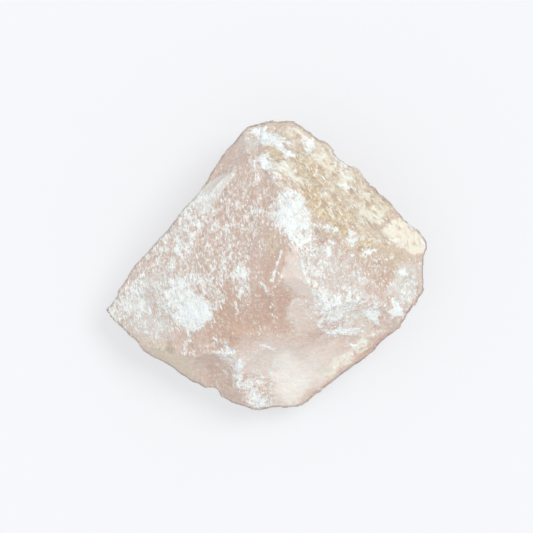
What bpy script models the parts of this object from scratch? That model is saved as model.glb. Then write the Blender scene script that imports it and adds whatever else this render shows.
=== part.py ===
"""Rose quartz chunk: one rough, broken stone that rests on a flat fracture face.

Metres, +Z up. The origin is under the middle of the stone, at the height of the resting face,
and +X runs along its length. The stone is made the way a broken stone is: a block is split along
named faces, shell-shaped scars are struck off it, its edges are chipped, and its skin is
roughened with lumps before the resting face is cut.
"""

import math
import random

import bmesh
import bpy
from mathutils import Euler, Matrix, Vector
from mathutils.bvhtree import BVHTree

MM = 0.001

STONE = "rose_quartz_chunk"
COLLECTION = "rose quartz chunk"

# Colour and shine of the bare stone.
ROSE = (0.69, 0.56, 0.49, 1.0)
ROUGHNESS = 0.45

# The block that is split, far larger than the stone.
BLOCK_SIDE = 200.0 * MM

# Each face: name, heading of its outward side in degrees anticlockwise from +X, how many degrees
# it looks up from the horizontal (90 is a flat top, 0 a wall, negative an overhang), and a point
# in millimetres that it passes through.
TOP_FACES = (
    ("left", 168, 55, (8.0, 10.0, 47.0)),
    ("left lower", 205, 55, (-10.0, -4.0, 36.4)),
    ("left foot", 243, 25, (-26.5, -24.5, 19.8)),
    ("window", 262, 50, (0.0, -9.0, 41.3)),
    ("lower smooth", 283, 42, (0.0, -21.0, 31.3)),
    ("ridge facet", 284, 76, (5.6, -2.0, 45.3)),
    ("flecked right", 348, 51, (9.0, 9.0, 46.0)),
    ("stained", 39, 41, (9.0, 10.0, 46.0)),
    ("cream corner", 12, 40, (38.7, 8.1, 20.4)),
    ("crest", 60, 76, (7.5, 13.0, 44.6)),
    ("top shoulder", 98, 38, (4.0, 28.0, 37.5)),
    ("top left", 141, 30, (-8.6, 26.6, 33.0)),
    ("lower right bevel", 309, 30, (21.0, -27.5, 17.5)),
)
WALL_FACES = (
    ("top", 93, -6, (3.0, 40.6, 22.0)),
    ("top left tip", 111, -6, (-2.7, 39.7, 22.0)),
    ("top right", 52, -8, (15.9, 34.4, 22.0)),
    ("right upper", 46, -6, (33.0, 19.1, 18.5)),
    ("right shoulder", 27, -4, (44.1, 8.0, 13.0)),
    ("right", 357, -6, (44.6, -1.5, 15.0)),
    ("right lower", 321, -8, (40.5, -12.7, 16.0)),
    ("lower right", 309, -6, (23.3, -28.3, 12.0)),
    ("bottom", 278, -6, (5.0, -39.9, 10.5)),
    ("bottom left", 252, -6, (-5.5, -40.1, 11.0)),
    ("lower left", 241, -5, (-18.0, -33.9, 11.0)),
    ("left tip lower", 224, -6, (-41.0, -17.7, 12.5)),
    ("left tip upper", 146, -6, (-41.4, -6.5, 12.0)),
    ("upper left", 141, -3, (-24.5, 15.2, 18.0)),
)
FOOT_FACES = (
    ("foot top", 95, -40, (0.0, 31.5, 0.0)),
    ("foot top right", 48, -45, (22.6, 17.7, 0.0)),
    ("foot right", 0, -38, (37.0, 0.0, 0.0)),
    ("foot lower right", 312, -48, (20.6, -20.0, 0.0)),
    ("foot bottom", 270, -42, (0.0, -35.0, 0.0)),
    ("foot lower left", 238, -45, (-23.8, -23.4, 0.0)),
    ("foot left", 190, -60, (-37.0, -10.3, 0.0)),
    ("foot upper left", 140, -48, (-21.5, 8.8, 0.0)),
)
# The stone is split this far below its resting face, which is cut last.
SPARE_BELOW = 2.0 * MM

# Each scar is the mark of a flake struck off: name, the point in millimetres that the blow is
# aimed at, the heading and rise of the side that it comes from, the scar's width and height across
# and its depth in millimetres, and how far it is turned about the blow, in degrees.
SCARS = (
    ("crescent", (-16.0, 21.5, 26.0), 141, 45, 17.0, 6.5, 1.0, 0),
    ("window scar", (-3.5, -14.0, 34.0), 255, 58, 25.0, 17.0, 1.8, 8),
    ("dark scar", (-13.5, -29.0, 18.0), 240, 38, 14.0, 25.0, 2.6, -12),
    ("ledge scar", (8.0, -17.0, 31.0), 280, 58, 14.0, 16.0, 1.4, 0),
    ("shelf scar", (24.0, -25.5, 20.0), 307, 48, 32.0, 17.0, 2.4, 8),
    ("lower scar", (3.0, -31.0, 20.0), 280, 45, 24.0, 20.0, 1.2, 0),
    ("right window scar", (33.0, -2.0, 24.0), 348, 51, 13.0, 10.0, 0.9, 0),
    ("stained scar one", (17.0, 23.0, 28.0), 45, 42, 20.0, 12.0, 1.2, 30),
    ("stained scar two", (29.0, 12.0, 24.0), 35, 42, 16.0, 11.0, 1.0, -20),
    ("stained scar three", (10.0, 31.0, 26.0), 60, 40, 14.0, 9.0, 0.9, 0),
    ("top chip", (-0.5, 35.5, 25.0), 98, 40, 9.0, 7.0, 1.0, 0),
    ("upper left hollow", (-19.0, 19.5, 21.0), 141, 0, 25.0, 20.0, 1.7, 0),
    ("right notch", (43.5, -0.6, 15.0), 0, 0, 10.0, 14.0, 1.9, 0),
    ("bottom notch", (-14.2, -34.4, 10.0), 236, 0, 6.0, 14.0, 1.7, 0),
    ("tip notch", (-36.4, -21.4, 12.0), 225, 0, 5.0, 12.0, 0.8, 0),
    ("top right hollow", (20.4, 30.0, 17.0), 50, 0, 10.0, 20.0, 1.1, 0),
    ("right upper hollow", (38.0, 13.4, 15.0), 46, 0, 10.0, 16.0, 1.1, 0),
    ("top wall scar", (3.0, 36.0, 9.0), 80, -12, 20.0, 17.0, 2.8, 10),
    ("top right wall scar", (20.0, 28.0, 9.0), 50, -12, 18.0, 13.0, 2.0, 25),
    ("right wall scar", (40.0, 2.0, 6.0), 5, -20, 22.0, 10.0, 2.0, 0),
    ("lower right wall scar", (26.0, -26.0, 5.0), 312, -25, 24.0, 9.0, 1.8, 0),
    ("bottom wall scar", (-2.0, -38.0, 4.5), 268, -20, 15.0, 8.0, 1.4, 0),
    ("lower left wall scar", (-28.0, -26.0, 5.0), 238, -20, 22.0, 9.0, 1.8, 0),
    ("left tip wall scar", (-38.0, -6.0, 5.0), 165, -30, 14.0, 8.0, 1.2, 0),
    ("left wall scar", (-29.0, 5.0, 9.0), 136, -12, 22.0, 13.0, 2.6, -15),
    ("upper left wall scar", (-13.0, 25.0, 11.0), 146, -10, 21.0, 17.0, 3.0, 20),
)
SCAR_SUBDIVISIONS = 4

# Flat chips along the edges of the split block, at places drawn with a fixed seed: the least
# angle of an edge that chips, the stretch of the edge where the chip's middle may lie, the side
# and depth of the chip in millimetres, and how far it tilts either way in degrees.
CHIP_SEED = 3
CHIP_COUNT = 36
CHIP_LEAST_ANGLE = math.radians(33.0)
CHIP_STRETCH = (0.15, 0.85)
CHIP_SIDE = (4.0, 9.0)
CHIP_DEPTH = (0.5, 1.1)
CHIP_TILT = 24.0

# The skin: a fine even mesh, pushed in and out by lumps and by finer grit.
SKIN_VOXEL = 0.8 * MM
LUMP_SIZE = 12.0 * MM
LUMP_HEIGHT = 1.5 * MM
GRIT_SIZE = 3.5 * MM
GRIT_HEIGHT = 0.6 * MM
TRIANGLES = 8600


def clear_scene():
    for obj in list(bpy.data.objects):
        bpy.data.objects.remove(obj)


def new_collection(name):
    collection = bpy.data.collections.new(name)
    bpy.context.scene.collection.children.link(collection)
    return collection


def new_object(name, mesh, collection):
    obj = bpy.data.objects.new(name, mesh)
    collection.objects.link(obj)
    return obj


def new_cutter(name, bm, collection):
    mesh = bpy.data.meshes.new(name)
    bm.to_mesh(mesh)
    bm.free()
    cutter = new_object(name, mesh, collection)
    cutter.hide_render = True
    cutter.display_type = "WIRE"
    return cutter


def direction(heading, rise):
    """Unit vector at this heading and this far above the horizontal, in degrees."""
    across = math.cos(math.radians(rise))
    return Vector(
        (
            across * math.cos(math.radians(heading)),
            across * math.sin(math.radians(heading)),
            math.sin(math.radians(rise)),
        )
    )


def split_block():
    """A block split along every named face, which leaves a stone with flat faces."""
    bm = bmesh.new()
    bmesh.ops.create_cube(bm, size=BLOCK_SIDE)
    splits = [
        (Vector(through) * MM, direction(heading, rise))
        for _, heading, rise, through in TOP_FACES + WALL_FACES + FOOT_FACES
    ]
    splits.append((Vector((0.0, 0.0, -SPARE_BELOW)), Vector((0.0, 0.0, -1.0))))
    for through, outward in splits:
        cut = bmesh.ops.bisect_plane(
            bm,
            geom=bm.verts[:] + bm.edges[:] + bm.faces[:],
            plane_co=through,
            plane_no=outward,
            clear_outer=True,
        )
        rim = [item for item in cut["geom_cut"] if isinstance(item, bmesh.types.BMEdge)]
        if rim:
            bmesh.ops.contextual_create(bm, geom=rim)
    bmesh.ops.recalc_face_normals(bm, faces=bm.faces[:])
    return bm


def facing_frame(outward):
    """Matrix whose Z looks outward, whose X is level and whose Y runs up the face."""
    level = Vector((0.0, 0.0, 1.0)).cross(outward).normalized()
    return Matrix((level, outward.cross(level), outward)).transposed()


def scar_cutter(struck, outward, width, height, depth, turn):
    """A round cutter whose near side leaves a shallow bowl of this width, height and depth."""
    half = width / 2
    radius = (half * half + depth * depth) / (2 * depth)
    facing = facing_frame(outward) @ Matrix.Rotation(math.radians(turn), 3, "Z")
    bm = bmesh.new()
    bmesh.ops.create_icosphere(bm, subdivisions=SCAR_SUBDIVISIONS, radius=radius)
    bmesh.ops.scale(bm, vec=(1.0, height / width, 1.0), verts=bm.verts[:])
    bmesh.ops.rotate(bm, matrix=facing, verts=bm.verts[:])
    bmesh.ops.translate(bm, vec=struck + outward * (radius - depth), verts=bm.verts[:])
    return bm


def add_scars(stone, block, cutters):
    block_tree = BVHTree.FromBMesh(block)
    for name, aim, heading, rise, width, height, depth, turn in SCARS:
        outward = direction(heading, rise)
        struck = block_tree.ray_cast(Vector(aim) * MM + outward * BLOCK_SIDE, -outward)[0]
        bm = scar_cutter(struck, outward, width * MM, height * MM, depth * MM, turn)
        cut_with(stone, new_cutter(name, bm, cutters))


def add_chips(stone, block, cutters):
    """Flat chips at seeded places along the sharper edges of the split block."""
    draw = random.Random(CHIP_SEED)
    edges = [edge for edge in block.edges if edge.calc_face_angle() > CHIP_LEAST_ANGLE]
    lengths = [edge.calc_length() for edge in edges]
    for number in range(CHIP_COUNT):
        edge = draw.choices(edges, weights=lengths)[0]
        start, end = (corner.co for corner in edge.verts)
        place = start.lerp(end, draw.uniform(*CHIP_STRETCH))
        outward = (edge.link_faces[0].normal + edge.link_faces[1].normal).normalized()
        side = draw.uniform(*CHIP_SIDE) * MM
        depth = draw.uniform(*CHIP_DEPTH) * MM
        tilt = [math.radians(draw.uniform(-CHIP_TILT, CHIP_TILT)) for _ in range(2)]
        turn = Euler((tilt[0], tilt[1], draw.uniform(0.0, math.tau))).to_matrix()
        bm = bmesh.new()
        bmesh.ops.create_cube(bm, size=side)
        bmesh.ops.rotate(bm, matrix=facing_frame(outward) @ turn, verts=bm.verts[:])
        bmesh.ops.translate(bm, vec=place + outward * (side / 2 - depth), verts=bm.verts[:])
        cut_with(stone, new_cutter(f"chip {number + 1}", bm, cutters))


def cut_with(stone, cutter):
    boolean = stone.modifiers.new(cutter.name, "BOOLEAN")
    boolean.operation = "DIFFERENCE"
    boolean.solver = "EXACT"
    boolean.object = cutter


def add_roughness(stone, name, size, height):
    """Pushes the skin in and out by a cloudy pattern of this size."""
    texture = bpy.data.textures.new(name, "CLOUDS")
    texture.noise_scale = size
    displace = stone.modifiers.new(name, "DISPLACE")
    displace.texture = texture
    displace.texture_coords = "LOCAL"
    displace.direction = "NORMAL"
    displace.mid_level = 0.5
    displace.strength = height


def apply_modifiers(stone):
    """Makes the shape that the modifiers give the stone's own mesh."""
    bpy.context.view_layer.update()
    evaluated = stone.evaluated_get(bpy.context.evaluated_depsgraph_get())
    shaped = bpy.data.meshes.new_from_object(evaluated)
    stone.modifiers.clear()
    stone.data = shaped
    shaped.name = STONE


def add_skin(stone):
    """An even fine mesh over the broken shape, roughened and then made of fewer faces."""
    remesh = stone.modifiers.new("even skin", "REMESH")
    remesh.mode = "VOXEL"
    remesh.voxel_size = SKIN_VOXEL
    add_roughness(stone, "lumps", LUMP_SIZE, LUMP_HEIGHT)
    add_roughness(stone, "grit", GRIT_SIZE, GRIT_HEIGHT)
    apply_modifiers(stone)
    triangles = sum(len(face.vertices) - 2 for face in stone.data.polygons)
    decimate = stone.modifiers.new("fewer faces", "DECIMATE")
    decimate.ratio = TRIANGLES / triangles
    apply_modifiers(stone)


def cut_resting_face(stone):
    """Splits the foot of the stone off level, and closes the flat face that it rests on."""
    bm = bmesh.new()
    bm.from_mesh(stone.data)
    cut = bmesh.ops.bisect_plane(
        bm,
        geom=bm.verts[:] + bm.edges[:] + bm.faces[:],
        plane_co=(0.0, 0.0, 0.0),
        plane_no=(0.0, 0.0, -1.0),
        clear_outer=True,
    )
    rim = [item for item in cut["geom_cut"] if isinstance(item, bmesh.types.BMEdge)]
    bmesh.ops.contextual_create(bm, geom=rim)
    bmesh.ops.recalc_face_normals(bm, faces=bm.faces[:])
    bm.to_mesh(stone.data)
    bm.free()


def centre_on_origin(stone):
    """Moves the stone level, so that the middle of its box is over the origin."""
    corners = [Vector(corner) for corner in stone.bound_box]
    middle = (corners[0] + corners[6]) / 2
    stone.data.transform(Matrix.Translation((-middle.x, -middle.y, 0.0)))


def rose_quartz_material():
    material = bpy.data.materials.new("rose quartz")
    material.use_nodes = True
    shader = material.node_tree.nodes["Principled BSDF"]
    shader.inputs["Base Color"].default_value = ROSE
    shader.inputs["Roughness"].default_value = ROUGHNESS
    shader.inputs["Metallic"].default_value = 0.0
    return material


def main():
    clear_scene()
    parts = new_collection(COLLECTION)
    cutters = new_collection("cutters")

    block = split_block()
    mesh = bpy.data.meshes.new(STONE)
    block.to_mesh(mesh)
    stone = new_object(STONE, mesh, parts)
    mesh.materials.append(rose_quartz_material())

    add_scars(stone, block, cutters)
    add_chips(stone, block, cutters)
    block.free()
    add_skin(stone)
    cut_resting_face(stone)
    centre_on_origin(stone)


if __name__ == "__main__":
    main()
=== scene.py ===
import math
import random

import bmesh
import bpy
import numpy as np
from bpy.props import FloatProperty, FloatVectorProperty, PointerProperty
from mathutils import Euler, Matrix, Vector, noise
from mathutils.bvhtree import BVHTree


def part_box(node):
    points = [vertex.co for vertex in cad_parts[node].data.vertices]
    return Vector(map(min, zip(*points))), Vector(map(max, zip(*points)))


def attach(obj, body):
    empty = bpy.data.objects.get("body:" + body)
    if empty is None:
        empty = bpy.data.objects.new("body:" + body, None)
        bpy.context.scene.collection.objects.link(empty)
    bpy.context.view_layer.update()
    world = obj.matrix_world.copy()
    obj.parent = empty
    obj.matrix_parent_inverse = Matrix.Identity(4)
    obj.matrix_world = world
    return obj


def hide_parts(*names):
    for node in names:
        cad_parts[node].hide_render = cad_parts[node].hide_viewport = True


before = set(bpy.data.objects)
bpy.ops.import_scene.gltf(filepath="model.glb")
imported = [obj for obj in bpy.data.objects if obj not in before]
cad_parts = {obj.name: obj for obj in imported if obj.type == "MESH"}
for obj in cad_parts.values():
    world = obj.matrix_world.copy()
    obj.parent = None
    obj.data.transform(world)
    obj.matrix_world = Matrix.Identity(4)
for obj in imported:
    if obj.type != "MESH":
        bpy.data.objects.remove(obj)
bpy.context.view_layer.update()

bl_info = {
    "name": "Rose quartz chunk",
    "version": (1, 0, 0),
    "blender": (4, 5, 0),
    "location": "3D View > Sidebar > Rose quartz",
    "description": "Splits, chips and colours a chunk of rose quartz and lights it on a table",
    "category": "Add Mesh",
}

NODE = "rose_quartz_chunk"
BODY = "root"
STONE = "rose_quartz_stone"
FLOOR = "pale_table"

MM = 0.001
UP = Vector((0.0, 0.0, 1.0))

# A face is level where its normal is this upright, and on the table within this height.
LEVEL = 0.999
ON_TABLE = 0.001 * MM

# The block that is split, far larger than the stone.
BLOCK_SIDE = 200.0 * MM

# Each face of the split block: name, heading of its outward side in degrees anticlockwise from
# +X, how many degrees it looks up from the horizontal, and a point in millimetres on it.
TOP_FACES = (
    ("left", 168, 55, (8.0, 10.0, 47.0)),
    ("left lower", 205, 55, (-10.0, -4.0, 36.4)),
    ("left foot", 243, 25, (-26.5, -24.5, 19.8)),
    ("window", 262, 50, (0.0, -9.0, 41.3)),
    ("lower smooth", 283, 42, (0.0, -21.0, 31.3)),
    ("ridge facet", 284, 76, (5.6, -2.0, 45.3)),
    ("flecked right", 348, 51, (9.0, 9.0, 46.0)),
    ("stained", 39, 41, (9.0, 10.0, 46.0)),
    ("cream corner", 12, 40, (38.7, 8.1, 20.4)),
    ("crest", 60, 76, (7.5, 13.0, 44.6)),
    ("top shoulder", 98, 38, (4.0, 28.0, 37.5)),
    ("top left", 141, 30, (-8.6, 26.6, 33.0)),
    ("lower right bevel", 309, 30, (21.0, -27.5, 17.5)),
)
WALL_FACES = (
    ("top", 93, -6, (3.0, 40.6, 22.0)),
    ("top left tip", 111, -6, (-2.7, 39.7, 22.0)),
    ("top right", 52, -8, (15.9, 34.4, 22.0)),
    ("right upper", 46, -6, (33.0, 19.1, 18.5)),
    ("right shoulder", 27, -4, (44.1, 8.0, 13.0)),
    ("right", 357, -6, (44.6, -1.5, 15.0)),
    ("right lower", 321, -8, (40.5, -12.7, 16.0)),
    ("lower right", 309, -6, (23.3, -28.3, 12.0)),
    ("bottom", 278, -6, (5.0, -39.9, 10.5)),
    ("bottom left", 252, -6, (-5.5, -40.1, 11.0)),
    ("lower left", 241, -5, (-18.0, -33.9, 11.0)),
    ("left tip lower", 224, -6, (-41.0, -17.7, 12.5)),
    ("left tip upper", 146, -6, (-41.4, -6.5, 12.0)),
    ("upper left", 141, -3, (-24.5, 15.2, 18.0)),
)
FOOT_FACES = (
    ("foot top", 95, -40, (0.0, 31.5, 0.0)),
    ("foot top right", 48, -45, (22.6, 17.7, 0.0)),
    ("foot right", 0, -38, (37.0, 0.0, 0.0)),
    ("foot lower right", 312, -48, (20.6, -20.0, 0.0)),
    ("foot bottom", 270, -42, (0.0, -35.0, 0.0)),
    ("foot lower left", 238, -45, (-23.8, -23.4, 0.0)),
    ("foot left", 190, -60, (-37.0, -10.3, 0.0)),
    ("foot upper left", 140, -48, (-21.5, 8.8, 0.0)),
)
# The stone is split this far below its resting face, which is cut last.
SPARE_BELOW = 2.0 * MM

# Each scar: name, aim of the blow in millimetres, heading and rise of the side that it comes
# from, width, height and depth in millimetres, and turn about the blow in degrees.
SCARS = (
    ("crescent", (-16.0, 21.5, 26.0), 141, 45, 17.0, 6.5, 1.0, 0),
    ("window scar", (-3.5, -14.0, 34.0), 255, 58, 25.0, 17.0, 1.8, 8),
    ("dark scar", (-13.5, -29.0, 18.0), 240, 38, 14.0, 25.0, 2.6, -12),
    ("ledge scar", (8.0, -17.0, 31.0), 280, 58, 16.0, 20.0, 1.0, 0),
    ("shelf scar", (24.0, -25.5, 20.0), 307, 48, 32.0, 24.0, 1.3, 8),
    ("lower scar", (3.0, -31.0, 20.0), 280, 45, 24.0, 20.0, 1.2, 0),
    ("right window scar", (33.0, -2.0, 24.0), 348, 51, 13.0, 10.0, 0.9, 0),
    ("stained scar one", (17.0, 23.0, 28.0), 45, 42, 20.0, 12.0, 1.2, 30),
    ("stained scar two", (29.0, 12.0, 24.0), 35, 42, 16.0, 11.0, 1.0, -20),
    ("stained scar three", (10.0, 31.0, 26.0), 60, 40, 14.0, 9.0, 0.9, 0),
    ("top chip", (-0.5, 35.5, 25.0), 98, 40, 9.0, 7.0, 1.0, 0),
    ("upper left hollow", (-19.0, 19.5, 21.0), 141, 0, 25.0, 20.0, 1.7, 0),
    ("right notch", (43.5, -0.6, 15.0), 0, 0, 10.0, 14.0, 1.9, 0),
    ("bottom notch", (-14.2, -34.4, 10.0), 236, 0, 6.0, 14.0, 1.7, 0),
    ("tip notch", (-36.4, -21.4, 12.0), 225, 0, 5.0, 12.0, 0.8, 0),
    ("top right hollow", (20.4, 30.0, 17.0), 50, 0, 10.0, 20.0, 1.1, 0),
    ("right upper hollow", (38.0, 13.4, 15.0), 46, 0, 10.0, 16.0, 1.1, 0),
    ("top wall scar", (3.0, 36.0, 9.0), 80, -12, 20.0, 17.0, 2.8, 10),
    ("top right wall scar", (20.0, 28.0, 9.0), 50, -12, 18.0, 13.0, 2.0, 25),
    ("right wall scar", (40.0, 2.0, 6.0), 5, -20, 22.0, 10.0, 2.0, 0),
    ("lower right wall scar", (26.0, -26.0, 5.0), 312, -25, 24.0, 9.0, 1.8, 0),
    ("bottom wall scar", (-2.0, -38.0, 4.5), 268, -20, 15.0, 8.0, 1.4, 0),
    ("lower left wall scar", (-28.0, -26.0, 5.0), 238, -20, 22.0, 9.0, 1.8, 0),
    ("left tip wall scar", (-38.0, -6.0, 5.0), 165, -30, 14.0, 8.0, 1.2, 0),
    ("left wall scar", (-29.0, 5.0, 9.0), 136, -12, 22.0, 13.0, 2.6, -15),
    ("upper left wall scar", (-13.0, 25.0, 11.0), 146, -10, 21.0, 17.0, 3.0, 20),
)
SCAR_SUBDIVISIONS = 4

# Flat chips along the sharper edges of the split block, at places drawn with a fixed seed: how
# sharp an edge has to be, how far along it a chip can sit, the side of the cube that cuts it and
# its depth in millimetres, and the most that it tilts, in degrees.
CHIP_SEED = 3
CHIP_COUNT = 36
CHIP_LEAST_ANGLE = math.radians(33.0)
CHIP_STRETCH = (0.15, 0.85)
CHIP_SIDE = (4.0, 9.0)
CHIP_DEPTH = (0.5, 1.1)
CHIP_TILT = 24.0

# How far the sides swell out at each heading, in degrees anticlockwise from +X and millimetres;
# below 0 they draw in. The swell starts at this share of the way from the middle to the outline.
SWELLS = (
    (0, 0.4), (10, 0.1), (20, 0.4), (30, -0.3), (40, -0.7), (50, 0.4), (60, 0.5), (75, -0.9),
    (90, 0.0), (105, 0.5), (120, 0.9), (135, 0.4), (150, 0.2), (160, -0.4), (172, 0.1),
    (183, 0.9), (189, 0.6), (193, 0.0), (202, 0.8), (212, 0.8), (221, 0.1), (235, 1.1),
    (250, 1.1), (262, 0.9), (270, 0.2), (277, 0.8), (290, 0.3), (300, 0.3), (308, 0.9),
    (320, 1.4), (330, 0.4), (342, 0.0), (352, -0.8),
)
SWELL_START = 0.7

# The main ridge seen from above, in millimetres: from the top of the stone down to the ledge,
# and along the ledge's foot to the right.
RIDGE = (
    (-1.2, 39.9), (-2.4, 28.6), (5.3, 18.7), (9.5, 11.6), (4.6, 4.6), (4.3, -2.2), (6.9, -7.3),
    (5.1, -14.1), (8.4, -18.2), (20.0, -19.4), (34.0, -21.0), (48.0, -22.0),
)
RIDGE_SOFTNESS = 0.3

# Headings that the flecks run along, left and right of the main ridge.
LEFT_STROKES = math.radians(105.0)
RIGHT_STROKES = math.radians(128.0)

# Without this seed the noise takes one from the clock, and the stone changes from run to run.
# Each smooth noise is also read at a place of its own, shifted by one of these numbers.
NOISE_SEED = 4
SHIFTS = {
    "broad wander": 3.0,
    "fine wander": 8.0,
    "facets": 21.0,
    "chips": 22.0,
    "steps": 23.0,
    "flecks": 11.0,
    "crumbs": 12.0,
}
SHIFT_SLANT = (1.0, 1.7, 2.3)

# How the facets are drawn, how long the run of fracture steps is and how many it has, the part
# of each step that is its riser, and the share of the steps that shows where there is no stain.
FACET_DRAW = 7.3
STEP_RUN = 9.0 * MM
STEPS = 3.2
STEP_RISER = 0.22
STEPS_EVERYWHERE = 0.25

# How broken the skin is everywhere, how much more with a finish and on the sides, and how much
# of the relief each calm finish takes away from the upper side, which keeps at least this share.
BROKEN = 0.30
BROKEN_BY = {"frost": 0.5, "stain": 0.5}
BROKEN_SIDES = 0.7
CALMED_BY = {"veil": 0.8, "deep": 0.6}
LEAST_RELIEF = 0.2

# A face counts as part of the upper side from the first of these rises of its normal, and fully
# so from the second. The relief fades out over this height above the resting face.
UPWARD = (-0.05, 0.25)
BASE_FADE = 1.0 * MM

# How far an edge stands out of the skin smoothed this often, in millimetres, where its frost
# starts and where it is full.
EDGE_ROUNDS = 12
EDGE_STANDS = (0.03, 0.28)

# A ray starts this far off the skin, so that it doesn't hit the face that it leaves. The grey
# line of the rim is painted shade that stands for the dark shadow under the stone's outer edge:
# it reaches this far in from the outline, keeps to what looks at least this far up, and shows at
# this share.
CLEAR_OF_SKIN = 0.05 * MM
RIM_SHADE_REACH = 0.40 * MM
RIM_SHADE_UPWARD = 0.2
RIM_SHADE_SHARE = 0.64

FINISHES = ("frost", "deep", "stain", "cream", "milk", "veil", "grey")

# The finishes of the sides, as clouds that reach the amount below at most: the usual amount, how
# far it rises and falls, the size of the clouds in millimetres, and their shift.
SIDE_CLOUDS = {
    "frost": (0.30, 0.55, 9.0, 1.0),
    "deep": (0.35, 0.9, 12.0, 2.0),
    "stain": (-0.10, 0.9, 14.0, 4.0),
    "cream": (-0.10, 0.7, 15.0, 5.0),
    "milk": (-0.05, 0.7, 13.0, 9.0),
    "veil": (0.25, 0.8, 10.0, 6.0),
    "grey": (0.0, 0.9, 11.0, 7.0),
}
MOST_ON_SIDES = 0.8

# Patches, panes and lines wander off their places with broad and fine noise: the sizes of its
# lumps, and how far patches are moved by each, and then panes and lines, all in millimetres.
WANDER_SIZES = (5.0, 1.6)
PATCH_WANDER = (2.2, 0.9)
LINE_WANDER = (0.6, 0.4)

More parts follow.
